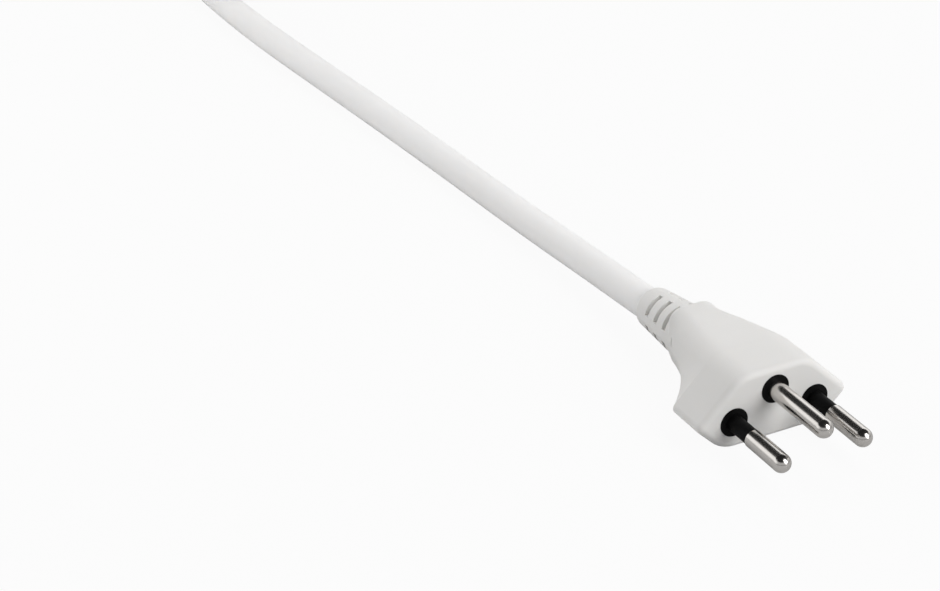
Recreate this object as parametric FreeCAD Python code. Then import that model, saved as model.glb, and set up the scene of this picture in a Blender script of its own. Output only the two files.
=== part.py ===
import FreeCAD, Part
import math
import os

V = FreeCAD.Vector
os.makedirs("parts", exist_ok=True)

# All sizes in millimetres. The origin is on the face of the plug, midway between the live and neutral pins.
# The pins point to -Y, the lead leaves to +Y, the earth pin is above the other two.

# Pins
pin_pitch = 19.0
earth_rise = 5.0
pin_d = 4.0
pin_reach = 19.0
sleeved_d = 2.8
seated_d = 3.6
collar_d = 5.0
collar_depth = 1.5
crimp_d = 3.4
crimp_end = 11.5
crimp_hole_depth = 5.0

# Black carrier behind the face
flange_d = 6.3
flange_proud = 0.15
sleeve_d = 3.6
sleeve_reach = 7.0
skin = 1.5
bridge_back = 5.5
bridge_bar = 4.4

# Head of the plug, a hexagon with 45 degree flanks
flank_reach = 18.0
face_top = 10.0
face_bottom = 6.25
head_depth = 10.3
face_edge_r = 1.5
side_corner_r = 1.5
head_roof_r = 7.0
head_floor_r = 7.0

# Neck behind the head
neck_end = 32.8
neck_half = 5.9
neck_roof_half = 4.2
neck_floor_half = 3.7
neck_top = 8.2
neck_bottom = 5.5
neck_lip = 1.4
neck_side_r = 6.0
neck_roof_r = 3.5
neck_floor_r = 4.0
neck_edge_r = 1.7
neck_side_power = 2.0
neck_roof_power = 2.5
neck_top_power = 1.5
neck_round_power = 0.5
neck_floor_power = 1.25
loft_steps = 6

# Strain relief of the plug, drooping a little with its lead
relief_length = 14.8
relief_root_d = 11.7
relief_tip_d = 9.0
relief_edge_r = 1.5
relief_rise = 1.5
relief_droop = 3.55
relief_overlap = 3.0
slot_rows = 3
slot_first = 1.1
slot_pitch = 3.95
slot_width = 1.5
slot_angles = ((101.0, 165.0), (192.0, 258.0), (282.0, 348.0), (15.0, 79.0))

# Lead
cord_d = 7.2
slot_floor_r = cord_d / 4
core_d = 2.4
strand_d = 1.3
sheath_end = 27.0
core_spread = 1.25
core_lead_in = 3.5
core_lead_out = 2.5
core_hidden = 1.0
core_drop = 0.9
earth_core_lift = 1.5
bend_share = 0.45
floor_z = -face_bottom
cord_z = floor_z + cord_d / 2

# Hank, two lobes drawn in to a waist
hank_near = 290.0
hank_x = -7.6
lobe_r = 22.0
waist_lane = 3.8
waist_bend_r = 36.0
waist_half = 6.0
hank_turns = 3
turn_pitch = 7.3
hank_edge_r = 3.0
hank_slack = 0.5
eye_r = 16.0

# Strap round the waist of the hank
tie_width = 10.0
tie_thick = 1.2
tie_corner_r = 2.5

# Tail, from the top of the hank down to the connector
tail_in_hank = 42.0
tail_past_hank = 2.0
tail_drop = 42.0
tail_shift = 2.0
tail_to_connector = 50.0

# Far-end connector, its cord along Y and its socket to +X
connector_length = 33.0
connector_back = 9.0
connector_front = 11.0
connector_height = 20.5
connector_edge_r = 2.0
connector_sheath = 4.0
connector_relief_d = 12.0
connector_relief_tip_d = 9.6
connector_relief_length = 14.5
barrel_reach = 19.0
barrel_width = 24.0
barrel_height = 16.4
barrel_chamfer = 4.5
barrel_edge_r = 1.2
barrel_root = 3.0
face_web = 2.0
contact_pitch = 14.0
contact_offset = 2.0
blade_width = 2.2
blade_height = 4.2
contact_wall = 0.4
blade_room = 0.2
contact_length = 14.0
contact_floor = 1.0
contact_overlap = 0.5
contact_crimp_end = 4.0
contact_crimp_length = 6.0
contact_hole_depth = 4.5
rib_count = 4
rib_pitch = 3.4
rib_width = 1.4
rib_rise = 0.5
rib_length = 13.0
rib_shift = 1.0
rib_seat = 1.0

live_x = -pin_pitch / 2
neutral_x = pin_pitch / 2


def unit(vector):
    return vector * (1.0 / vector.Length)


def without(solid, pieces):
    for piece in pieces:
        solid = solid.cut(piece)
    return solid


# Closed loops with rounded corners

def rounded_loop(corners):
    """A closed wire through (point, radius) corners, each rounded as far as its sides allow."""
    count = len(corners)
    arcs = []
    for i in range(count):
        corner, radius = corners[i]
        back = corners[i - 1][0] - corner
        ahead = corners[(i + 1) % count][0] - corner
        half = back.getAngle(ahead) / 2
        reach = min(radius / math.tan(half), bend_share * min(back.Length, ahead.Length))
        bend = reach * math.tan(half)
        middle = unit(unit(back) + unit(ahead)) * (bend / math.sin(half) - bend)
        start = corner + unit(back) * reach
        end = corner + unit(ahead) * reach
        arcs.append((start, corner + middle, end))
    edges = []
    for i in range(count):
        start, middle, end = arcs[i]
        edges.append(Part.Arc(start, middle, end).toShape())
        edges.append(Part.makeLine(end, arcs[(i + 1) % count][0]))
    return Part.Wire(edges)


def plug_section(y, side, roof, floor, top, bottom, side_r, roof_r, floor_r):
    return rounded_loop([
        (V(side, y, 0), side_r),
        (V(roof, y, top), roof_r),
        (V(-roof, y, top), roof_r),
        (V(-side, y, 0), side_r),
        (V(-floor, y, -bottom), floor_r),
        (V(floor, y, -bottom), floor_r),
    ])


def blend(start, end, share):
    return start + (end - start) * share


def edges_at(shape, y):
    return [e for e in shape.Edges if abs(e.BoundBox.YMin - y) < 1e-4 and abs(e.BoundBox.YMax - y) < 1e-4]


# Turned and swept pieces

def turned(profile, x, z):
    """A solid turned about an axis along Y from (radius, y) points."""
    edges = []
    for a, b in zip(profile, profile[1:] + profile[:1]):
        edges.append(Part.makeLine(V(a[0], a[1], 0), V(b[0], b[1], 0)))
    solid = Part.Face(Part.Wire(edges)).revolve(V(0, 0, 0), V(0, 1, 0), 360)
    solid.translate(V(x, 0, z))
    return solid


def rod(x, z, d, start, end):
    return Part.makeCylinder(d / 2, end - start, V(x, start, z), V(0, 1, 0))


def route(points, further=0.0):
    """Straight runs joined by tangent arcs, with the radius of each arc. The last run can go further on."""
    edges = []
    radii = []
    start = points[0]
    for before, corner, after in zip(points, points[1:], points[2:]):
        back = before - corner
        ahead = after - corner
        reach = bend_share * min(back.Length, ahead.Length)
        half = (math.pi - back.getAngle(ahead)) / 2
        radius = reach / math.tan(half)
        toward = unit(unit(back) + unit(ahead))
        a = corner + unit(back) * reach
        b = corner + unit(ahead) * reach
        middle = corner + toward * (radius / math.cos(half) - radius)
        edges.append(Part.makeLine(start, a))
        edges.append(Part.Arc(a, middle, b).toShape())
        radii.append(radius)
        start = b
    last = points[-1] + unit(points[-1] - points[-2]) * further
    edges.append(Part.makeLine(start, last))
    return Part.Wire(edges), radii


def tube(points, d, further=0.0):
    path, radii = route(points, further)
    ring = Part.Wire(Part.makeCircle(d / 2, points[0], points[1] - points[0]))
    return path.makePipeShell([ring], True, False)


# Strain relief, a tapered sleeve with rows of slots

def relief(root_d, tip_d, length):
    """The sleeve along +Y, with its root at the origin and some more of it behind that."""
    grow = relief_overlap * (root_d - tip_d) / length
    cone = Part.makeCone((root_d + grow) / 2, tip_d / 2, length + relief_overlap,
                         V(0, -relief_overlap, 0), V(0, 1, 0))
    return cone.makeFillet(relief_edge_r, edges_at(cone, length))


def drooped(solid):
    """Set a piece made about the origin at the root of the plug's relief."""
    solid.rotate(V(0, 0, 0), V(1, 0, 0), -relief_droop)
    solid.translate(V(0, neck_end, relief_rise))
    return solid


def axis_height(y):
    """Height of the lead's axis in the relief."""
    return relief_rise - (y - neck_end) * math.tan(math.radians(relief_droop))


def slot(y, reach, angles):
    """A cut right round part of a sleeve, angles counted from +X toward +Z."""
    low = y - slot_width / 2
    face = Part.Face(Part.makePolygon([
        V(slot_floor_r, low, 0), V(reach, low, 0), V(reach, low + slot_width, 0),
        V(slot_floor_r, low + slot_width, 0), V(slot_floor_r, low, 0)]))
    face.rotate(V(0, 0, 0), V(0, -1, 0), angles[0])
    return face.revolve(V(0, 0, 0), V(0, -1, 0), angles[1] - angles[0])


def slots(reach):
    return [slot(slot_first + row * slot_pitch, reach, angles)
            for row in range(slot_rows) for angles in slot_angles]


# Plug

def make_pin(x, z, sleeved):
    tip_r = pin_d / 2
    tip_y = -pin_reach
    hole = crimp_end - crimp_hole_depth
    inner_r = sleeved_d / 2 if sleeved else seated_d / 2
    step_y = -sleeve_reach if sleeved else 0.0
    shank = turned([
        (0, tip_y + tip_r), (tip_r, tip_y + tip_r), (tip_r, step_y), (inner_r, step_y),
        (inner_r, skin), (collar_d / 2, skin), (collar_d / 2, skin + collar_depth),
        (crimp_d / 2, skin + collar_depth), (crimp_d / 2, crimp_end), (strand_d / 2, crimp_end),
        (strand_d / 2, hole), (0, hole)], x, z)
    tip = Part.makeSphere(tip_r, V(x, tip_y + tip_r, z), V(0, -1, 0), 0, 90, 360)
    return shank.fuse(tip).removeSplitter()


def make_bridge(pins):
    bar_half = bridge_bar / 2
    depth = bridge_back - skin
    solid = Part.makeBox(pin_pitch, depth, bridge_bar, V(live_x, skin, -bar_half))
    solid = solid.fuse(Part.makeBox(bridge_bar, depth, earth_rise, V(-bar_half, skin, 0)))
    for x, z in ((live_x, 0), (neutral_x, 0), (0, earth_rise)):
        solid = solid.fuse(rod(x, z, flange_d, -flange_proud, bridge_back))
    for x in (live_x, neutral_x):
        solid = solid.fuse(rod(x, 0, sleeve_d, -sleeve_reach, 0))
    return without(solid.removeSplitter(), pins)


def core_routes():
    """Each wire from just inside the end of the sheath to the back of its pin."""
    start = sheath_end + core_hidden
    turn_in = sheath_end - core_lead_in
    turn_out = crimp_end + core_lead_out
    middle = axis_height(sheath_end)
    routes = {}
    for name, x, z, side, lift in (("live", live_x, 0, -core_spread, -core_drop),
                                   ("neutral", neutral_x, 0, core_spread, -core_drop),
                                   ("earth", 0, earth_rise, 0, earth_core_lift)):
        high = middle + lift
        routes[name] = [V(side, start, high), V(side, turn_in, high), V(x, turn_out, z), V(x, crimp_end, z)]
    return routes


def wire_pair(points, bare):
    """Insulation and copper of one wire, and its room in a moulding. The copper goes on, bare."""
    copper = tube(points, strand_d, bare)
    whole = tube(points, core_d)
    return whole.cut(copper), copper, whole


def make_head():
    roof = flank_reach - face_top
    floor = flank_reach - face_bottom
    loop = plug_section(0, flank_reach, roof, floor, face_top, face_bottom,
                        side_corner_r, head_roof_r, head_floor_r)
    prism = Part.Face(loop).extrude(V(0, head_depth, 0))
    return prism.makeFillet(face_edge_r, edges_at(prism, 0))


def make_neck():
    """The part behind the head. In plan its sides start at 45 degrees and run out straight at the neck."""
    head_roof = flank_reach - face_top
    head_floor = flank_reach - face_bottom
    loops = []
    for step in range(loft_steps):
        u = step / (loft_steps - 1)
        lip = neck_lip if step == loft_steps - 1 else 0.0
        loops.append(plug_section(
            blend(head_depth, neck_end, u),
            blend(neck_half, flank_reach, (1 - u) ** neck_side_power),
            blend(head_roof, neck_roof_half, u ** neck_roof_power) + lip,
            blend(neck_floor_half, head_floor, (1 - u) ** neck_floor_power),
            blend(face_top, neck_top, u ** neck_top_power) + lip,
            blend(face_bottom, neck_bottom, u),
            blend(side_corner_r, neck_side_r, u),
            blend(head_roof_r, neck_roof_r, u ** neck_round_power),
            blend(head_floor_r, neck_floor_r, u)))
    neck = Part.makeLoft(loops, True, False)
    return neck.makeFillet(neck_edge_r, edges_at(neck, neck_end))


def make_body(inside):
    solid = make_head().fuse(make_neck())
    solid = solid.fuse(drooped(relief(relief_root_d, relief_tip_d, relief_length)))
    return without(solid, inside + [drooped(cut) for cut in slots(relief_root_d)])


# Lead

def lead_points():
    first = V(0, sheath_end, axis_height(sheath_end))
    return [
        first, V(-0.42, 63, axis_height(63)), V(-1.6, 102, cord_z), V(-4.1, 140, cord_z),
        V(-7.8, 186, cord_z), V(-12.2, 236, cord_z), V(-12.6, 276, cord_z),
        V(hank_x - waist_lane, 314, cord_z)]


def hank_center_y():
    return hank_near + cord_d / 2 + hank_half()


def lobe_center():
    """Distance of a lobe's centre from the middle of the hank."""
    far = lobe_r + waist_bend_r
    near = waist_lane + waist_bend_r
    return waist_half + math.sqrt(far ** 2 - near ** 2)


def hank_half():
    return lobe_center() + lobe_r


def hank_height():
    return turn_pitch * (hank_turns + 0.5) + cord_d + hank_slack


def make_hank():
    """The outer shape of the folded length, waisted, first plain and then with an eye in each lobe."""
    grow = cord_d / 2
    center = lobe_center()
    outer_r = lobe_r + grow
    bend_r = waist_bend_r - grow
    bend_x = waist_lane + waist_bend_r
    toward = unit(V(bend_x, waist_half - center, 0))
    meet = V(0, center, 0) + toward * outer_r
    waist = waist_lane + grow
    sweep = math.atan2(center - waist_half, bend_x) / 2
    knee = V(bend_x - bend_r * math.cos(sweep), waist_half + bend_r * math.sin(sweep), 0)

    def flipped(p, sx, sy):
        return V(p.x * sx, p.y * sy, p.z)

    edges = []
    corner = V(waist, waist_half, 0)
    top = V(0, center + outer_r, 0)
    for sy in (1, -1):
        edges.append(Part.Arc(flipped(meet, 1, sy), flipped(top, 1, sy), flipped(meet, -1, sy)).toShape())
        for sx in (1, -1):
            a, m, b = flipped(corner, sx, sy), flipped(knee, sx, sy), flipped(meet, sx, sy)
            edges.append(Part.Arc(a, m, b).toShape())
    for sx in (1, -1):
        edges.append(Part.makeLine(flipped(corner, sx, -1), flipped(corner, sx, 1)))
    loop = Part.Wire(Part.__sortEdges__(edges))
    height = hank_height()
    solid = Part.Face(loop).extrude(V(0, 0, height))
    solid = solid.makeFillet(hank_edge_r, [e for e in solid.Edges if e.BoundBox.ZLength < 1e-4])
    recess_half = waist + tie_thick
    solid = solid.cut(Part.makeBox(2 * recess_half, tie_width, tie_thick, V(-recess_half, -tie_width / 2, 0)))
    eyes = [Part.makeCylinder(eye_r, height, V(0, sy * center, 0)) for sy in (1, -1)]
    open_solid = without(solid, eyes)
    for piece in (solid, open_solid):
        piece.translate(V(hank_x, hank_center_y(), floor_z))
    return solid, open_solid


def make_tie():
    """A flat strap round the waist."""
    half = waist_lane + cord_d / 2
    outer = Part.makeBox(2 * (half + tie_thick), tie_width, hank_height() + tie_thick,
                         V(-half - tie_thick, -tie_width / 2, 0))
    corners = [e for e in outer.Edges if abs(e.BoundBox.YLength - tie_width) < 1e-4]
    outer = outer.makeFillet(tie_corner_r, corners)
    outer.translate(V(hank_x, hank_center_y(), floor_z))
    return outer


def tail_points():
    far = hank_center_y() + hank_half()
    x = hank_x - waist_lane
    top = floor_z + cord_d / 2 + turn_pitch * (hank_turns + 0.5)
    place = connector_place()
    crest = far + tail_past_hank
    return [V(x, far - tail_in_hank, top), V(x, crest, top), V(place.x, crest + tail_drop, place.z),
            V(place.x, connector_mouth(), place.z)]


# Far-end connector, made about the middle of its block and then set down

def connector_place():
    y = hank_center_y() + hank_half() + tail_to_connector + connector_relief_length + connector_length / 2
    return V(hank_x - waist_lane - tail_shift, y, floor_z + connector_height / 2)


def connector_mouth():
    """Where the sheath ends inside the connector."""
    return connector_place().y - connector_length / 2 + connector_sheath


def barrel_loop(x):
    w = barrel_width / 2
    h = barrel_height / 2
    return rounded_loop([
        (V(x, -w, -h), barrel_edge_r), (V(x, w, -h), barrel_edge_r),
        (V(x, w, h - barrel_chamfer), barrel_edge_r), (V(x, w - barrel_chamfer, h), barrel_edge_r),
        (V(x, barrel_chamfer - w, h), barrel_edge_r), (V(x, -w, h - barrel_chamfer), barrel_edge_r)])


def box_about(x0, x1, y, z, wide, tall):
    return Part.makeBox(x1 - x0, wide, tall, V(x0, y - wide / 2, z - tall / 2))


def contact_places():
    return {"live": (contact_pitch / 2, -contact_offset), "neutral": (-contact_pitch / 2, -contact_offset),
            "earth": (0, contact_offset)}


def barrel_length():
    return connector_front + barrel_reach - barrel_root


def contact_front():
    return connector_front + barrel_reach - face_web


def make_contact(y, z):
    front = contact_front()
    back = front - contact_length
    crimp = contact_crimp_end + contact_crimp_length
    wall = 2 * contact_wall
    sleeve = box_about(back, front, y, z, blade_width + wall, blade_height + wall)
    sleeve = sleeve.cut(box_about(back + contact_floor, front, y, z, blade_width, blade_height))
    stem = box_about(crimp - contact_overlap, back, y, z, blade_width, core_d)
    mouth = V(contact_crimp_end, y, z)
    barrel = Part.makeCylinder(core_d / 2, contact_crimp_length, mouth, V(1, 0, 0))
    barrel = barrel.cut(Part.makeCylinder(strand_d / 2, contact_hole_depth, mouth, V(1, 0, 0)))
    return sleeve.fuse(stem).fuse(barrel).removeSplitter()


def make_contact_block():
    solid = Part.Face(barrel_loop(barrel_root)).extrude(V(barrel_length(), 0, 0))
    front = contact_front()
    back = front - contact_length
    wall = 2 * contact_wall
    room = 2 * blade_room
    for y, z in contact_places().values():
        solid = solid.cut(box_about(back, front, y, z, blade_width + wall, blade_height + wall))
        solid = solid.cut(box_about(front, front + face_web, y, z, blade_width + room, blade_height + room))
    return solid


def connector_routes():
    start = connector_sheath - connector_length / 2
    routes = {}
    for name, (y, z) in contact_places().items():
        x = {"live": -core_spread, "neutral": core_spread, "earth": 0.0}[name]
        routes[name] = [V(x, start, z), V(x, y, z), V(contact_crimp_end, y, z)]
    return routes


def make_grip(inside):
    half = connector_length / 2
    solid = Part.makeBox(connector_back + connector_front, connector_length, connector_height,
                         V(-connector_back, -half, -connector_height / 2))
    solid = solid.makeFillet(connector_edge_r, solid.Edges)
    for i in range(rib_count):
        y = (i - (rib_count - 1) / 2) * rib_pitch
        rib = Part.makeBox(rib_length, rib_width, rib_rise + rib_seat,
                           V(rib_shift - rib_length / 2, y - rib_width / 2, connector_height / 2 - rib_seat))
        solid = solid.fuse(rib)
    sleeve = relief(connector_relief_d, connector_relief_tip_d, connector_relief_length)
    sleeve = without(sleeve, slots(connector_relief_d))
    sleeve.rotate(V(0, 0, 0), V(0, 0, 1), 180)
    sleeve.translate(V(0, -half, 0))
    return without(solid.fuse(sleeve), inside)


# Build and write

def check_route(name, points):
    path, radii = route(points)
    solid = tube(points, cord_d)
    plain = path.Length * math.pi * cord_d ** 2 / 4
    print(name, "length", round(path.Length, 1), "volume over section times length",
          round(solid.Volume / plain, 5), "least radius", round(min(radii), 1),
          "radii", [round(r) for r in radii])
    return solid


def main():
    nodes = {}
    for name, x, z, sleeved in (("live", live_x, 0, True), ("neutral", neutral_x, 0, True),
                                ("earth", 0, earth_rise, False)):
        nodes[name + "_pin"] = make_pin(x, z, sleeved)
    pins = [nodes[n + "_pin"] for n in ("live", "neutral", "earth")]
    nodes["pin_bridge"] = make_bridge(pins)

    lead = check_route("lead", lead_points())
    wires = []
    for name, points in core_routes().items():
        insulation, copper, whole = wire_pair(points, crimp_hole_depth)
        nodes["plug_" + name + "_core"] = insulation.cut(lead)
        nodes["plug_" + name + "_strands"] = copper.cut(lead)
        wires += [whole, copper]
    nodes["plug_body"] = make_body([lead] + wires + pins + [nodes["pin_bridge"]])

    outline, nodes["cord_hank"] = make_hank()
    tail = check_route("tail", tail_points())
    nodes["cord_run"] = lead.cut(outline)
    nodes["cord_tail"] = tail.cut(outline)
    nodes["hank_tie"] = make_tie().cut(outline)

    inside = []
    rooms = []
    for name, (y, z) in contact_places().items():
        nodes[name + "_contact"] = make_contact(y, z)
        inside.append(nodes[name + "_contact"])
        rooms.append(nodes[name + "_contact"])
    for name, points in connector_routes().items():
        insulation, copper, whole = wire_pair(points, contact_hole_depth)
        nodes["connector_" + name + "_core"] = insulation
        nodes["connector_" + name + "_strands"] = copper
        inside += [insulation, copper]
        rooms += [whole, copper]
    nodes["contact_block"] = without(make_contact_block(), rooms)
    place = connector_place()
    sheath = tail.copy()
    sheath.translate(place * -1)
    grip = make_grip(rooms + [sheath, Part.Face(barrel_loop(barrel_root)).extrude(V(barrel_length(), 0, 0))])
    for piece in inside + [nodes["contact_block"], grip]:
        piece.translate(place)
    nodes["connector_grip"] = grip

    for name, shape in nodes.items():
        solids = shape.Solids
        print(name, "solids", len(solids), "valid", shape.isValid(), "volume", round(shape.Volume, 2))
        whole = solids[0] if len(solids) == 1 else shape
        whole.exportStep("parts/" + name + ".step")


main()
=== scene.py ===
# %% [markdown]
# A type J mains plug lies on a table with its lead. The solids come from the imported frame, and this
# lesson gives them their finish, draws the lead as one soft curve and lights it all like a small studio.
# Everything is in metres, in the frame of the plug: its face is at y = 0, the pins point to -Y,
# the lead leaves to +Y and the earth pin is on top.

# %% Frame
import math

import bpy
import numpy as np
from mathutils import Matrix, Vector


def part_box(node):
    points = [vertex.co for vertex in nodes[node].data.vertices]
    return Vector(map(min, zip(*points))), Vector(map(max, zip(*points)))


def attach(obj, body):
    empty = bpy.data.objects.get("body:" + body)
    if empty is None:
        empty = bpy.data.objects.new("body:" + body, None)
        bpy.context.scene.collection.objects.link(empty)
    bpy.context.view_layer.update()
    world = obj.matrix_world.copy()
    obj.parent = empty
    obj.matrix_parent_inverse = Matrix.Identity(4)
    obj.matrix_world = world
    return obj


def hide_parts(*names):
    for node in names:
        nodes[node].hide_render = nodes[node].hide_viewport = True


MM = 0.001
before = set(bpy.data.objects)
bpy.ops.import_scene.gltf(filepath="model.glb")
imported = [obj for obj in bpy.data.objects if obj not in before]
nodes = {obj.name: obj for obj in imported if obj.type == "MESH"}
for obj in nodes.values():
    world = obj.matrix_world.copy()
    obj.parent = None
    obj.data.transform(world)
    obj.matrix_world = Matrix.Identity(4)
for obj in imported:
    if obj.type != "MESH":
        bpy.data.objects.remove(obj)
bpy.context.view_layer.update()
floor_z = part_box("plug_body")[0].z
print("solids", len(nodes), "floor at", round(floor_z / MM, 3), "mm")

# %% [markdown]
# The camera comes first. It is described the way a photographer would: the spot on the table it looks at,
# the direction, the distance and the lens.
# A long lens from half a metre away gives the flat perspective of a catalogue picture.

# %% Camera
aim_spot = Vector((-26.43 * MM, 81.68 * MM, floor_z))
view_turn = math.radians(26.69)
view_drop = math.radians(29.19)
view_roll = math.radians(-1.378)
view_distance = 578.65 * MM
lens_mm = 100.0
sensor_mm = 36.0
nearest_seen = 0.01

ahead = Vector((math.sin(view_turn) * math.cos(view_drop),
                math.cos(view_turn) * math.cos(view_drop),
                -math.sin(view_drop)))
level = ahead.cross(Vector((0, 0, 1))).normalized()
right = Matrix.Rotation(-view_roll, 3, ahead) @ level
camera_data = bpy.data.cameras.new("camera")
camera_data.lens = lens_mm
camera_data.sensor_width = sensor_mm
camera_data.sensor_fit = "HORIZONTAL"
camera_data.clip_start = nearest_seen
camera = bpy.data.objects.new("camera", camera_data)
turn = Matrix((right, right.cross(ahead), -ahead)).transposed().to_4x4()
camera.matrix_world = Matrix.Translation(aim_spot - ahead * view_distance) @ turn
bpy.context.scene.collection.objects.link(camera)
bpy.context.scene.camera = camera
print("camera at", [round(c / MM, 1) for c in camera.matrix_world.translation], "mm")

# %% [markdown]
# The lead is a round flexible cord about one and a half metres long. Only its first quarter metre is seen.
# The rest is folded into a hank with two lobes and a tied waist, in line with the plug, as a lead is packed
# for a shelf. The route is the corners where the straight runs would meet. The first ones are given one by
# one to follow the photograph, and a loop adds the turns of the hank, which are arcs of two sizes.

# %% Route of the lead
cord_d = 7.2 * MM
cord_z = floor_z + cord_d / 2
sheath_end = 27 * MM
relief_root_y = 32.8 * MM
relief_rise = 1.5 * MM
relief_slope = math.tan(math.radians(3.55))
hank_x = -7.6 * MM
hank_near = 290 * MM
hank_turns = 3
turn_pitch = 7.3 * MM
quarter_turn = 0.25
lobe_r = 22 * MM
lobe_parts = 9
waist_lane = 3.8 * MM
waist_bend_r = 36 * MM
waist_parts = 2
waist_half = 6 * MM
tail_in_hank = 42 * MM
tail_past_hank = 2 * MM
tail_drop = 42 * MM
tail_shift = 2 * MM
connector_half_height = 10.25 * MM
connector_mouth_y = 502.48 * MM

waist_turn = math.acos((waist_lane + waist_bend_r) / (lobe_r + waist_bend_r))
lobe_center = waist_half + (lobe_r + waist_bend_r) * math.sin(waist_turn)
hank_half = lobe_center + lobe_r
hank_y = hank_near + cord_d / 2 + hank_half
hank_far = hank_y + hank_half
lane_x = hank_x - waist_lane


def axis_height(y):
    """Height of the lead's axis where the strain relief holds it: it falls evenly from the relief's root."""
    return relief_rise - (y - relief_root_y) * relief_slope


def heading_step(heading, length):
    """A step in plan: the length times the cosine and the sine of the heading."""
    return length * np.array([math.cos(heading), math.sin(heading)])


def hank_turn():
    """Corners of one turn in plan and how far round they are: where the tangents of its arcs meet.
    Each arc is cut into equal parts, and a part's corner lies straight on from its start, by the radius
    times the tangent of half the part's angle."""
    half_turn = [(waist_half, 0, 0), (waist_bend_r, waist_turn, waist_parts),
                 (lobe_r, -math.pi - 2 * waist_turn, lobe_parts),
                 (waist_bend_r, waist_turn, waist_parts), (waist_half, 0, 0)]
    place, heading, gone = np.array([-waist_lane, 0.0]), math.pi / 2, 0.0
    corners = []
    for size, sweep, parts in half_turn * 2:
        if parts == 0:
            place = place + heading_step(heading, size)
            gone += size
        for _ in range(parts):
            step = sweep / parts
            reach = size * math.tan(abs(step) / 2)
            corner = place + heading_step(heading, reach)
            corners.append((*corner, gone + size * abs(step) / 2))
            heading += step
            place = corner + heading_step(heading, reach)
            gone += size * abs(step)
    corners = np.array(corners)
    corners[:, 2] /= gone
    return corners, gone


def lane_height(turns_gone):
    """Height of the lead's middle in the hank: one pitch for each turn, from the floor at the near end."""
    return cord_z + turn_pitch * (turns_gone + quarter_turn)


run = [(0, sheath_end, axis_height(sheath_end)), (-0.42 * MM, 63 * MM, axis_height(63 * MM)),
       (-1.6 * MM, 102 * MM, cord_z), (-4.1 * MM, 140 * MM, cord_z), (-7.8 * MM, 186 * MM, cord_z),
       (-12.2 * MM, 236 * MM, cord_z), (-12.6 * MM, 276 * MM, cord_z), (lane_x, 314 * MM, cord_z)]
turn_corners, turn_length = hank_turn()
turns = np.concatenate([turn_corners + (0, 0, n) for n in range(hank_turns)])
coil = np.column_stack([hank_x + turns[:, 0], hank_y + turns[:, 1], lane_height(turns[:, 2])])
top_z = lane_height(hank_turns + quarter_turn)
crest_y = hank_far + tail_past_hank
tail_x = lane_x - tail_shift
connector_z = floor_z + connector_half_height
tail = [(lane_x, hank_far - tail_in_hank, top_z), (lane_x, crest_y, top_z),
        (tail_x, crest_y + tail_drop, connector_z), (tail_x, connector_mouth_y, connector_z)]
route = np.concatenate([run, coil, tail])
print("route points", len(route), "one turn of the hank", round(turn_length / MM, 1), "mm")

# %% [markdown]
# A tube swept along straight runs and arcs would look like bent wire. One NURBS curve of order 3 is the
# right tool: it bends as evenly as a real sheath does and never shows a corner. Its control points are the
# route's own points. The radius is set on the points and the bevel is one, because Blender adds the points'
# radius to a curve's box, and with the usual radius of one metre the box would be far larger than the lead.

# %% Lead
lead_curve = bpy.data.curves.new("lead", "CURVE")
lead_curve.dimensions = "3D"
lead_curve.resolution_u = 12
lead_curve.bevel_depth = 1.0
lead_curve.bevel_resolution = 10
lead_curve.use_fill_caps = True
spline = lead_curve.splines.new("NURBS")
spline.points.add(len(route) - 1)
spline.points.foreach_set("co", np.column_stack([route, np.ones(len(route))]).ravel())
spline.points.foreach_set("radius", np.full(len(route), cord_d / 2))
spline.order_u = 3
spline.use_endpoint_u = True
lead = bpy.data.objects.new("lead", lead_curve)
bpy.context.scene.collection.objects.link(lead)
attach(lead, "root")
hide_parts("cord_run", "cord_hank", "cord_tail")
print("lead", round(spline.calc_length(), 4), "m along its middle")

# %% [markdown]
# A strap of woven tape holds the waist of the hank. Pulled tight, a strap takes the shape of the hull of
# what it holds: it lies on the outer strands and bridges the gaps between them. The support function gives
# that hull in one step: for each direction, the strand that reaches furthest that way carries the strap.
# The tape goes once round and then a little further, over its own start.

# %% Strap
tape_width = 10 * MM
tape_thick = 1.1 * MM
tape_gap = 0.06 * MM
tape_overlap = 24 * MM
tape_climb = 5 * MM
tape_lift = 1.04 * tape_thick
tape_rows = 260
hull_directions = 4001
edge_points = 7
flat_points = 6


def new_piece(name, points, faces, uv=None):
    """A mesh object with its place in its mesh, smooth, with a UV for each corner of its faces."""
    mesh = bpy.data.meshes.new(name)
    mesh.from_pydata(points.tolist(), [], faces)
    if uv is not None:
        corners = np.zeros(len(mesh.loops), int)
        mesh.loops.foreach_get("vertex_index", corners)
        mesh.uv_layers.new(name="UVMap").data.foreach_set("uv", uv[corners].ravel())
    mesh.shade_smooth()
    piece = bpy.data.objects.new(name, mesh)
    bpy.context.scene.collection.objects.link(piece)
    return piece


def waist_strands():
    """Middles (x, z) of the strands that cross the waist: those at whole turns are on the left lane, and
    those half a turn later on the right one."""
    left = np.arange(hank_turns + 1.0)
    right_lane = np.arange(hank_turns) + 0.5
    x = np.concatenate([np.full(len(left), -waist_lane), np.full(len(right_lane), waist_lane)])
    return np.column_stack([hank_x + x, lane_height(np.concatenate([left, right_lane]))])


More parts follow.
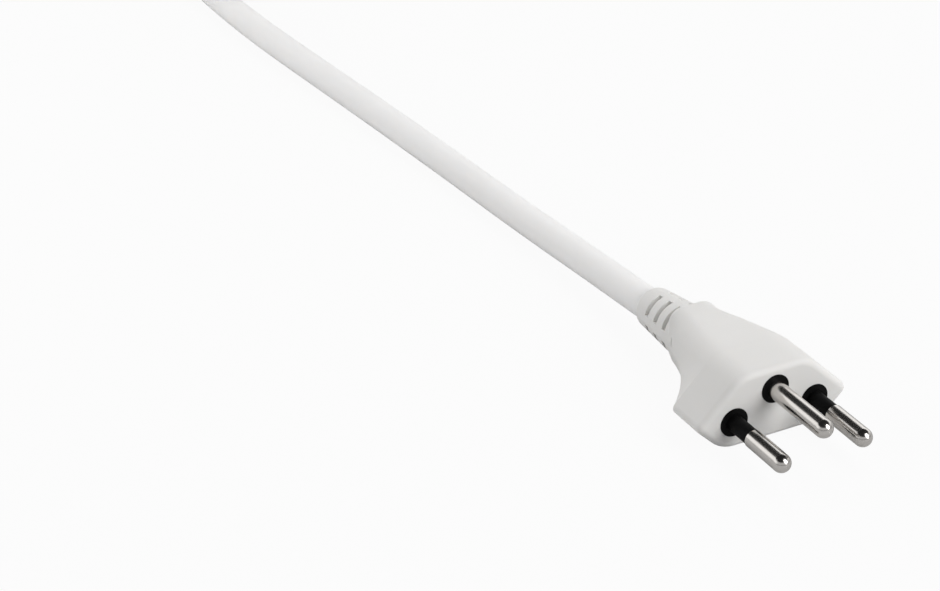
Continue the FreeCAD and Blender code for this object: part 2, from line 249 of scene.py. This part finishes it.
def tape_path():
    """Points and outward normals along the tape. The hull's point for the direction n is the middle of
    the furthest strand plus its radius along n, and the points are then spread evenly along the length.
    Where the tape comes round again it climbs by its own thickness in a smooth step."""
    angle = np.linspace(-math.pi, math.pi, hull_directions) - math.pi / 2
    normal = np.column_stack([np.cos(angle), np.sin(angle)])
    strands = waist_strands()
    furthest = (normal @ strands.T).argmax(1)
    hull = strands[furthest] + normal * (cord_d / 2 + tape_gap)
    gone = np.concatenate([[0], np.cumsum(np.linalg.norm(np.diff(hull, axis=0), axis=1))])
    around = gone[-1]
    along = np.linspace(0, around + tape_overlap, tape_rows)
    wrapped = along % around
    spot = np.column_stack([np.interp(wrapped, gone, hull[:, i]) for i in (0, 1)])
    out = np.column_stack([np.interp(wrapped, gone, normal[:, i]) for i in (0, 1)])
    out /= np.linalg.norm(out, axis=1)[:, None]
    climb = np.clip((along - around + tape_climb) / tape_climb, 0, 1)
    lift = tape_lift * climb ** 2 * (3 - 2 * climb)
    return spot + out * lift[:, None], out, along


def tape_section():
    """The tape's cross section, (across, outward) points of a flat bar with half-round edges: the cosine
    and sine of half a turn at each edge, and even steps between them."""
    bend = np.linspace(-math.pi / 2, math.pi / 2, edge_points)
    r = tape_thick / 2
    right_edge = np.column_stack([tape_width / 2 - r + r * np.cos(bend), r + r * np.sin(bend)])
    left_edge = np.column_stack([-right_edge[:, 0], right_edge[:, 1]])[::-1]
    flat = np.linspace(-1, 1, flat_points + 2)[1:-1, None] * (tape_width / 2 - r)
    low = np.column_stack([flat, np.zeros_like(flat)])
    high = np.column_stack([-flat, np.full_like(flat, tape_thick)])
    return np.concatenate([low, right_edge, high, left_edge])


def grid_faces(rows, columns):
    """Quads of a grid that is closed across and open along: two neighbours in a row and the two after."""
    row, column = np.meshgrid(np.arange(rows - 1), np.arange(columns), indexing="ij")
    beside = (column + 1) % columns
    this_row = row * columns
    next_row = (row + 1) * columns
    quads = [this_row + column, this_row + beside, next_row + beside, next_row + column]
    return np.stack(quads, -1).reshape(-1, 4).tolist()


spot, out, along = tape_path()
section = tape_section()
rows, columns = len(spot), len(section)
tape_points = np.zeros((rows, columns, 3))
tape_points[:, :, 0] = spot[:, None, 0] + out[:, None, 0] * section[None, :, 1]
tape_points[:, :, 1] = hank_y + section[None, :, 0]
tape_points[:, :, 2] = spot[:, None, 1] + out[:, None, 1] * section[None, :, 1]
tape_uv = np.stack(np.broadcast_arrays(along[:, None], section[None, :, 0]), -1)
tape_faces = grid_faces(rows, columns)
tape_faces += [list(range(columns))[::-1], list(range((rows - 1) * columns, rows * columns))]
strap = new_piece("hank_strap", tape_points.reshape(-1, 3), tape_faces, tape_uv.reshape(-1, 2))
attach(strap, "root")
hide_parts("hank_tie")
print("strap", round(along[-1] / MM, 1), "mm long")

# %% [markdown]
# The lead ends in a connector for the appliance, and the strap sits on it too.

# %% What is on the lead
on_lead = ["connector_grip", "contact_block"]
on_lead += [name for name in nodes if name.endswith("_contact")]
on_lead += [name for name in nodes if name.startswith("connector_") and name not in on_lead]
print("pieces on the lead", len(on_lead) + 1)

# %% [markdown]
# Finishes are node trees, and writing them as sums reads better than wiring them one by one. The class below
# wraps one socket. Adding or multiplying two of them makes a Math node, and every other node is made by the
# method called node, which sets the node's own settings first and then fills or links its sockets.

# %% Shader sums


class Shade:
    """One socket of a node tree, or only the tree. Arithmetic on shades adds Math nodes to it."""

    def __init__(self, tree, socket=None):
        self.tree = tree
        self.socket = socket

    def node(self, kind, settings=None, inputs=None, output=0):
        """A new node with its settings, then with its sockets filled by values or linked to shades."""
        made = self.tree.nodes.new("ShaderNode" + kind)
        for key, value in (settings or {}).items():
            setattr(made, key, value)
        for key, value in (inputs or {}).items():
            if isinstance(value, Shade):
                self.tree.links.new(value.socket, made.inputs[key])
            else:
                made.inputs[key].default_value = value
        return Shade(self.tree, made.outputs[output])

    def other(self, name):
        """Another output of the same node."""
        return Shade(self.tree, self.socket.node.outputs[name])

    def math(self, operation, *values):
        """One Math node on shades and numbers."""
        return self.node("Math", {"operation": operation}, dict(enumerate(values)))

    def __add__(self, other):
        return self.math("ADD", self, other)

    def __sub__(self, other):
        return self.math("SUBTRACT", self, other)

    def __rsub__(self, other):
        return self.math("SUBTRACT", other, self)

    def __mul__(self, other):
        return self.math("MULTIPLY", self, other)

    __radd__ = __add__
    __rmul__ = __mul__

    def noise(self, place, scale, detail=2.0):
        """Soft random values from 0 to 1, with as many waves to a metre as the scale says."""
        return self.node("TexNoise", None, {"Vector": place, "Scale": scale, "Detail": detail})

    def stretched(self, place, scale):
        """A place times one scale for each axis, so that a noise on it is drawn out along the small ones."""
        return self.node("Mapping", None, {"Vector": place, "Scale": scale})

    def between(self, share, low, high):
        """A colour between two others: the low one where the share is 0, the high one where it is 1."""
        inputs = {0: share, 6: (*low, 1.0), 7: (*high, 1.0)}
        return self.node("Mix", {"data_type": "RGBA"}, inputs, 2)

    def step(self, value, low, high):
        """0 below low, 1 above high, smooth between."""
        return self.node("MapRange", {"interpolation_type": "SMOOTHSTEP"}, {0: value, 1: low, 2: high})

    def bump(self, height, distance):
        """A normal tilted as if the surface rose by the distance where the height is 1."""
        return self.node("Bump", None, {"Height": height, "Distance": distance})


def new_finish(name, **constants):
    """A material with one Principled shader, whose sockets get the constants, and a shade of its tree."""
    material = bpy.data.materials.new(name)
    material.use_nodes = True
    shader = material.node_tree.nodes["Principled BSDF"]
    for key, value in constants.items():
        shader.inputs[key.replace("_", " ")].default_value = value
    return material, Shade(material.node_tree), shader


def feed(shader, **shades):
    """Link shades to the shader's sockets."""
    for key, shade in shades.items():
        shade.tree.links.new(shade.socket, shader.inputs[key.replace("_", " ")])


def dress(material, *pieces):
    """Give a material to pieces. A name stands for the CAD node of that name."""
    for given in pieces:
        piece = nodes[given] if isinstance(given, str) else given
        piece.data.materials.clear()
        piece.data.materials.append(material)


print("shader sums ready")

# %% [markdown]
# The body of the plug is soft white plastic, moulded in one shot round the carrier and the end of the lead.
# Such plastic is never one flat white: it has a slightly warm, cloudy tone, a fine grain from the
# spark-eroded mould and patches that shine a little more where the mould was polished by use. Noise in
# object coordinates does all three, and needs no unwrapping and shows no seam.

# %% White moulding
moulding_dim = (0.775, 0.765, 0.745)
moulding_pale = (0.825, 0.815, 0.80)


def white_moulding():
    """The tone follows a slow cloud. Roughness and height are weighted sums of pools and of fine grain."""
    material, tree, shader = new_finish("white_moulding", IOR=1.5, Subsurface_Weight=0.12,
                                        Subsurface_Scale=0.6 * MM, Subsurface_Radius=(1.0, 0.85, 0.7))
    place = tree.node("TexCoord", output="Object")
    cloud = tree.noise(place, scale=70.0, detail=3.0)
    grain = tree.noise(place, scale=2600.0)
    pool = tree.noise(place, scale=260.0)
    feed(shader,
         Base_Color=tree.between(cloud, moulding_dim, moulding_pale),
         Roughness=0.40 + 0.16 * pool + 0.08 * grain,
         Normal=tree.bump(grain * 0.5 + pool * 0.6, distance=0.016 * MM))
    return material


dress(white_moulding(), "plug_body", "connector_grip", "contact_block")
print("white moulding on the plug and the connector")

# %% [markdown]
# The sheath of the lead is extruded, not moulded. It is smoother than the plug, a touch cooler in tone, and
# so soft and cloudy that light spreads some millimetres through it and evens out its shaded side. The three
# wires that are twisted under it show as a very shallow winding swell. The curve's own UV map runs along and
# round the lead, so a slanting wave on it follows every bend.

# %% White sheath
lay_turns = 26.0
cores = 3.0
sheath_dim = (0.88, 0.872, 0.865)
sheath_pale = (0.91, 0.903, 0.897)


def white_sheath():
    """The swell is a sine of the way along plus the way round. Lines drawn along the lead and a fine grain
    are added to it for the height, and to the roughness."""
    material, tree, shader = new_finish("white_sheath", IOR=1.5, Subsurface_Weight=0.8,
                                        Subsurface_Scale=4.0 * MM, Subsurface_Radius=(1.0, 0.97, 0.94))
    place = tree.node("TexCoord", output="Object")
    uv = tree.node("TexCoord", output="UV")
    along_it = tree.node("SeparateXYZ", None, {0: uv})
    round_it = along_it.other("Y")
    lay = tree.math("SINE", (along_it * lay_turns + round_it) * (2 * math.pi * cores))
    cloud = tree.noise(place, scale=45.0)
    draw_lines = tree.noise(tree.stretched(uv, (40.0, 60.0, 1.0)), scale=1.0, detail=3.0)
    grain = tree.noise(place, scale=1500.0)
    feed(shader,
         Base_Color=tree.between(cloud, sheath_dim, sheath_pale),
         Roughness=0.44 + 0.12 * draw_lines + 0.06 * grain,
         Normal=tree.bump(lay * 0.8 + draw_lines * 0.5 + grain * 0.25, distance=0.02 * MM))
    return material


dress(white_sheath(), lead)
print("sheath dressed")

# %% [markdown]
# The carrier that holds the pins is hard black plastic: the round collars in the face and the sleeves on
# the live and neutral pins are one piece with it. It is nearly black with a soft gloss and faint flow lines.
# The flow lines are a noise drawn out along the pins, the way the plastic ran in the mould.

# %% Black carrier
carrier_deep = (0.003, 0.003, 0.003)
carrier_worn = (0.006, 0.006, 0.006)


def black_carrier():
    """The tone follows the flow lines. Roughness and height are weighted sums of them and of the grain."""
    material, tree, shader = new_finish("black_carrier", IOR=1.4, Specular_IOR_Level=0.08)
    place = tree.node("TexCoord", output="Object")
    flow = tree.noise(tree.stretched(place, (900.0, 250.0, 900.0)), scale=1.0, detail=3.0)
    grain = tree.noise(place, scale=3500.0)
    feed(shader,
         Base_Color=tree.between(flow, carrier_deep, carrier_worn),
         Roughness=0.38 + 0.14 * flow + 0.05 * grain,
         Normal=tree.bump(grain * 0.4 + flow * 0.6, distance=0.01 * MM))
    return material


dress(black_carrier(), "pin_bridge")
print("carrier dressed")

# %% [markdown]
# The pins are turned brass with a bright nickel plate. Turning leaves rings so fine that they only blur the
# reflections, and every insertion into a socket draws faint scratches along the pin. Both are noise
# stretched in one direction: across the axis for the rings, along it for the scratches.

# %% Nickel plate
nickel_dull = (0.62, 0.595, 0.565)
nickel_bright = (0.70, 0.675, 0.65)


def nickel_plate():
    """The tone follows the tarnish. Rings, tarnish and the scratches, which are the highest draws of a
    stretched noise, add to the roughness, and rings and draws to the height."""
    material, tree, shader = new_finish("nickel_plate", Metallic=1.0)
    place = tree.node("TexCoord", output="Object")
    rings = tree.noise(tree.stretched(place, (60.0, 9000.0, 60.0)), scale=1.0)
    draws = tree.noise(tree.stretched(place, (5200.0, 90.0, 5200.0)), scale=1.0, detail=3.0)
    tarnish = tree.noise(place, scale=320.0, detail=3.0)
    scratched = tree.step(draws, low=0.60, high=0.72)
    feed(shader,
         Base_Color=tree.between(tarnish, nickel_dull, nickel_bright),
         Roughness=0.13 + 0.04 * rings + 0.06 * scratched + 0.05 * tarnish,
         Normal=tree.bump(rings * 0.5 + draws * 0.35, distance=0.0008 * MM))
    return material


dress(nickel_plate(), "live_pin", "neutral_pin", "earth_pin")
print("pins plated")

# %% [markdown]
# Inside the mouldings each wire has its own colour, brown for live, blue for neutral, green and yellow for
# earth, and ends in bright copper strands. None of it shows from outside, but the pieces are there when the
# plug is taken apart, so they get their finish too. One function makes the three insulations and another
# the two metals, because they differ only in their colours and in the way that their lines run.

# %% Wires and contacts


def wire_insulation(name, color, stripe):
    """Two colours that change over where a slanting wave crosses its middle, with a fine grain."""
    material, tree, shader = new_finish(name, IOR=1.5)
    place = tree.node("TexCoord", output="Object")
    winding = tree.node("TexWave", {"bands_direction": "DIAGONAL"},
                        {"Vector": place, "Scale": 130.0, "Distortion": 0.4, "Detail": 1.0}, 1)
    grain = tree.noise(place, scale=2400.0)
    feed(shader,
         Base_Color=tree.between(tree.step(winding, low=0.45, high=0.55), color, stripe),
         Roughness=0.34 + 0.12 * grain,
         Normal=tree.bump(grain, distance=0.006 * MM))
    return material


def bare_metal(name, dull, bright, rough, lines):
    """The tone follows the tarnish. Drawn lines, a noise stretched by the scales in lines, add to a given
    roughness and make the height."""
    material, tree, shader = new_finish(name, Metallic=1.0)
    place = tree.node("TexCoord", output="Object")
    drawn = tree.noise(tree.stretched(place, lines), scale=1.0, detail=3.0)
    tarnish = tree.noise(place, scale=420.0, detail=3.0)
    feed(shader,
         Base_Color=tree.between(tarnish, dull, bright),
         Roughness=rough + 0.14 * drawn,
         Normal=tree.bump(drawn, distance=0.006 * MM))
    return material


insulation = {
    "live": wire_insulation("brown_core", (0.13, 0.05, 0.022), (0.15, 0.06, 0.027)),
    "neutral": wire_insulation("blue_core", (0.02, 0.12, 0.42), (0.025, 0.14, 0.46)),
    "earth": wire_insulation("green_core", (0.05, 0.30, 0.06), (0.72, 0.60, 0.04)),
}
copper = bare_metal("copper", dull=(0.72, 0.36, 0.22), bright=(0.86, 0.52, 0.36), rough=0.24,
                    lines=(3000.0, 300.0, 3000.0))
contact_brass = bare_metal("contact_brass", dull=(0.62, 0.46, 0.19), bright=(0.80, 0.65, 0.33), rough=0.20,
                           lines=(300.0, 3000.0, 3000.0))
for pole, colored in insulation.items():
    dress(colored, f"plug_{pole}_core", f"connector_{pole}_core")
    dress(copper, f"plug_{pole}_strands", f"connector_{pole}_strands")
    dress(contact_brass, f"{pole}_contact")
print("wires and contacts dressed")

# %% [markdown]
# The strap is woven tape. Its threads go over and under each other, so its height is a product of two waves,
# one along the tape and one across it, drawn on the UV map, which is in metres. Modelling each thread would
# take thousands of faces for a strap that is a centimetre wide.

# %% Strap finish
thread = 0.55 * MM
# The tape's two tones are painted shade: the darker one goes in the hollows of the weave, the lighter one on
# the thread tops.
tape_hollow_shade = (0.010, 0.010, 0.011)
tape_thread_tops = (0.05, 0.05, 0.053)


def woven_tape():
    """The weave's height is a sine across times a sine along, moved to run from 0 to 1. The height follows
    it, with some fuzz, and so does the tone: painted shade makes the hollows between the threads darker than
    their tops."""
    material, tree, shader = new_finish("woven_tape", Sheen_Weight=0.35, Sheen_Roughness=0.5)
    uv = tree.node("TexCoord", output="UV")
    along_it = tree.node("SeparateXYZ", None, {0: uv})
    across = along_it.other("Y")
    warp = tree.math("SINE", across * (math.pi / thread))
    weft = tree.math("SINE", along_it * (math.pi / thread))
    height = 0.5 + 0.5 * warp * weft
    fuzz = tree.noise(tree.stretched(uv, (9000.0, 2500.0, 1.0)), scale=1.0)
    feed(shader,
         # Painted shade: the tone is darker where the weave's height is low, in the hollows between the
         # threads.
         Base_Color=tree.between(height * 0.7 + fuzz * 0.3, tape_hollow_shade, tape_thread_tops),
         Roughness=0.70 + 0.2 * fuzz,
         Normal=tree.bump(height + fuzz * 0.4, distance=0.12 * MM))
    return material


dress(woven_tape(), strap)
print("strap dressed")

# %% [markdown]
# The table is plain and pale. Its own colour is a light grey, which throws about as much light up at the
# plug as a studio table does. The Light Path node shows it to the camera as nearly paper white, mixed with
# its real shading so that the shadow of the plug stays, and mirror-like surfaces see a little of that white.

# %% Table
table_half = 4.0
table_cells = 8
table_grey = 0.58
table_white = 0.94
table_mirrored = 0.08


def table_top():
    """A flat square grid at the height of the floor, with x and y in even steps from edge to edge."""
    edge = table_cells + 1
    side = np.linspace(-table_half, table_half, edge)
    x, y = np.meshgrid(side, side, indexing="xy")
    points = np.column_stack([x.ravel(), y.ravel(), np.full(x.size, floor_z)])
    row, column = np.meshgrid(np.arange(table_cells), np.arange(table_cells), indexing="ij")
    first = (row * edge + column).ravel()
    quads = np.column_stack([first, first + 1, first + edge + 1, first + edge])
    return new_piece("table", points, quads.tolist())


def table_finish():
    """A mix of the grey's real shading and a plain white glow. The share of white depends on the ray: one
    value for the camera's rays and a smaller one for rays from mirrors and glass."""
    material, tree, shader = new_finish("table_white", Base_Color=(table_grey, table_grey, table_grey, 1),
                                        Roughness=0.9, Specular_IOR_Level=0.1)
    seen = tree.node("LightPath", output="Is Camera Ray")
    mirrored = seen.other("Is Glossy Ray") + seen.other("Is Transmission Ray")
    white = seen * table_white + mirrored * table_mirrored
    glow = tree.node("Emission", None, {"Color": (1, 1, 1, 1), "Strength": 1.0})
    both = tree.node("MixShader", None, {0: white, 1: Shade(tree.tree, shader.outputs[0]), 2: glow})
    tree.tree.links.new(both.socket, tree.tree.nodes["Material Output"].inputs["Surface"])
    return material


table = table_top()
dress(table_finish(), table)
print("table", 2 * table_half, "m square")

# %% [markdown]
# Light makes the pins. A bright rod mirrors the room behind the plug, so the world is a pale sweep up to
# about thirty degrees and a dark room above it: that gives each pin its dark stripe between two bright ones.
# The domed ends look forward and mirror the tall lamp in front, on the right. A lamp overhead and a small
# low one beside the lead, at the back left, only light the white plastic. The pins would show them as stray
# stripes, so they aren't mirrored.

# %% Lamps
lit_spot = Vector((0, 20 * MM, 0))


def soft_lamp(name, spot_mm, width, depth, power, mirrored):
    """A lamp behind an oval diffuser, turned from its spot to the plug. The pins and the gloss show it only
    if it is mirrored."""
    data = bpy.data.lights.new(name, "AREA")
    data.shape = "ELLIPSE"
    data.size = width
    data.size_y = depth
    data.energy = power
    lamp = bpy.data.objects.new(name, data)
    lamp.location = Vector(spot_mm) * MM
    lamp.rotation_euler = (lit_spot - lamp.location).to_track_quat("-Z", "Y").to_euler()
    lamp.visible_camera = False
    lamp.visible_glossy = mirrored
    bpy.context.scene.collection.objects.link(lamp)


soft_lamp("overhead", (380, 190, 880), width=0.7, depth=0.7, power=3.05, mirrored=False)
soft_lamp("front_right", (520, -980, 760), width=0.8, depth=1.3, power=11.8, mirrored=True)
soft_lamp("back_left", (-330, 340, 130), width=0.36, depth=0.18, power=0.54, mirrored=False)

# %% [markdown]
# The world is worked out from the direction of the view alone. Its height above the horizon makes the sweep,
# which is dimmer at the horizon and ends in a dark room, and its way to the back makes the sweep brighter
# there, as a lit backdrop is. A picture of a studio could do the same, but smooth steps are all it takes.

# %% World
room_glow = 0.02
front_glow = 0.54
back_glow = 0.68
horizon_share = 0.4
sweep_full_at = 0.26
sweep_ends = (0.52, 0.60)
back_from_to = (-0.35, 0.35)

world = bpy.data.worlds.new("studio")
bpy.context.scene.world = world
world.use_nodes = True
sky = Shade(world.node_tree)
direction = sky.node("TexCoord", output="Generated")
axes = sky.node("SeparateXYZ", None, {0: direction})
rise = axes.other("Z")
grows = horizon_share + (1 - horizon_share) * sky.step(rise, low=0.0, high=sweep_full_at)
sweep = grows * (1 - sky.step(rise, *sweep_ends))
behind = sky.step(axes.other("Y"), *back_from_to)
glow = room_glow + sweep * (front_glow + back_glow * behind)
sky.tree.links.new(glow.socket, sky.tree.nodes["Background"].inputs["Strength"])
sky.tree.nodes["Background"].inputs["Color"].default_value = (1, 1, 1, 1)
bpy.context.scene.view_settings.view_transform = "Standard"
print("world nodes", len(sky.tree.nodes))
